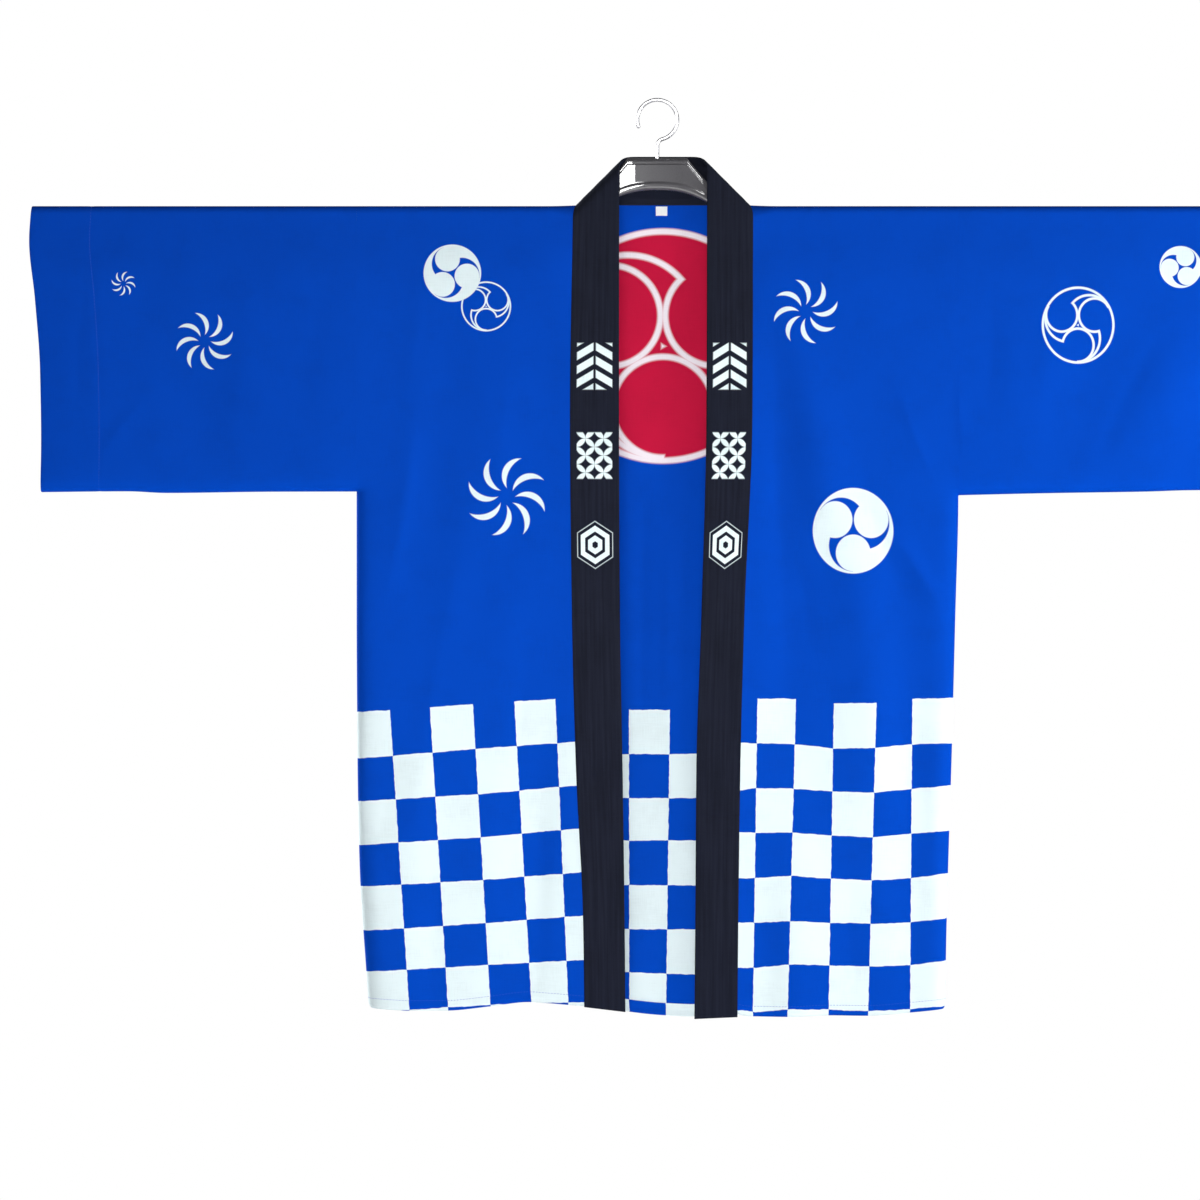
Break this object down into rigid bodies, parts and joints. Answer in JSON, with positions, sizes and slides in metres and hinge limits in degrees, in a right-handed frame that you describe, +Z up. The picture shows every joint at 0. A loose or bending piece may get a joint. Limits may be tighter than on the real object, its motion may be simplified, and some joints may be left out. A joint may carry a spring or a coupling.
{
  "type": "happi coat on a kimono hanger",
  "caption": "Open-fronted happi coat with square sleeves and a black collar strip, hung flat on a straight-armed hanger whose wire hook goes over a rail.",
  "frame": {"origin": "the point at the top of the hook's inside, where it bears on a rail", "axes": "+Z up, +X to the wearer's left along the sleeves, -Y out of the coat's front; the coat hangs below the origin"},
  "size_m": [1.3139, 0.0355, 0.966],
  "materials": {
    "blue_front_right": "matt printed cotton",
    "blue_front_left": "matt printed cotton",
    "blue_back": "matt printed cotton",
    "blue_sleeve_right": "matt printed cotton",
    "blue_sleeve_left": "matt printed cotton",
    "black_collar_neck": "matt black cotton, doubled",
    "black_collar_right": "matt black cotton, doubled",
    "black_collar_left": "matt black cotton, doubled",
    "black_collar_end_right": "matt black cotton, doubled",
    "black_collar_end_left": "matt black cotton, doubled",
    "white_label": "woven tape, bare",
    "dark_plastic": "polished dark moulding",
    "steel_arm_right": "bright plated steel",
    "steel_arm_left": "bright plated steel",
    "steel_hook": "bright plated steel"
  },
  "bodies": {
    "root": {"front_right": "blue_front_right", "front_left": "blue_front_left", "back": "blue_back", "sleeve_right": "blue_sleeve_right", "sleeve_left": "blue_sleeve_left", "collar_neck": "black_collar_neck", "collar_right": "black_collar_right", "collar_left": "black_collar_left", "collar_end_right": "black_collar_end_right", "collar_end_left": "black_collar_end_left", "neck_label": "white_label", "hanger_core": "dark_plastic", "hanger_arm_right": "steel_arm_right", "hanger_arm_left": "steel_arm_left", "hanger_hook": "steel_hook"}
  },
  "joints": []
}
